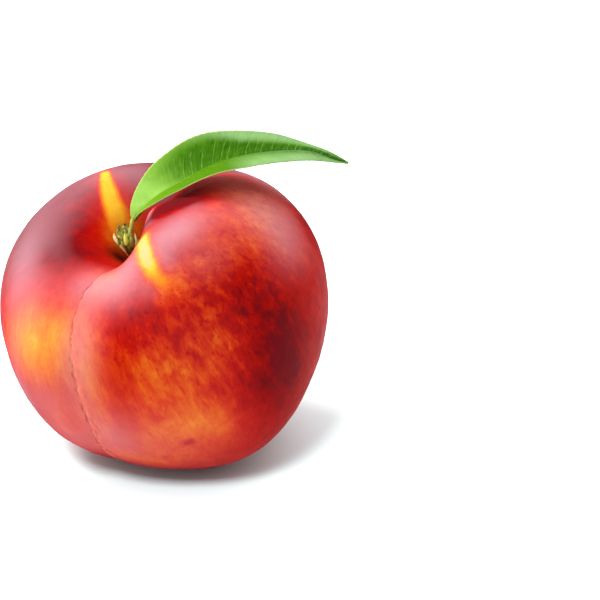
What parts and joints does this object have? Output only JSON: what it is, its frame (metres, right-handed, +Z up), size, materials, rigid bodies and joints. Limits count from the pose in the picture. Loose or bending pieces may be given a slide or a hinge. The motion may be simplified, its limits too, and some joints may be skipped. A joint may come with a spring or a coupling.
{
  "type": "peach with stem cluster and leaf",
  "caption": "Whole ripe peach with a deep suture and stem cavity, a short green stem cluster and one folded leaf, resting on a small flat spot.",
  "frame": {"origin": "centre of the small flat spot that the fruit rests on", "axes": "+Z up; +X towards the leaf's tip, to the right of someone facing the suture; -Y towards the suture side, the front"},
  "size_m": [0.0829, 0.0802, 0.0773],
  "materials": {
    "fruit_skin": "velvety, finely fuzzed, soft sheen",
    "spur_bark": "dull green bark",
    "bud_green": "satin",
    "bud_olive": "dull, brown at the tip",
    "bud_scale": "dry, pale edged",
    "leaf_blade": "waxy, soft gloss"
  },
  "bodies": {
    "root": {"fruit": "fruit_skin", "spur": "spur_bark", "bud_center": "bud_green", "bud_left": "bud_olive", "bud_rear": "bud_olive", "bud_right": "bud_olive", "scale_left": "bud_scale", "stipule_right": "bud_scale", "leaf": "leaf_blade"}
  },
  "joints": []
}
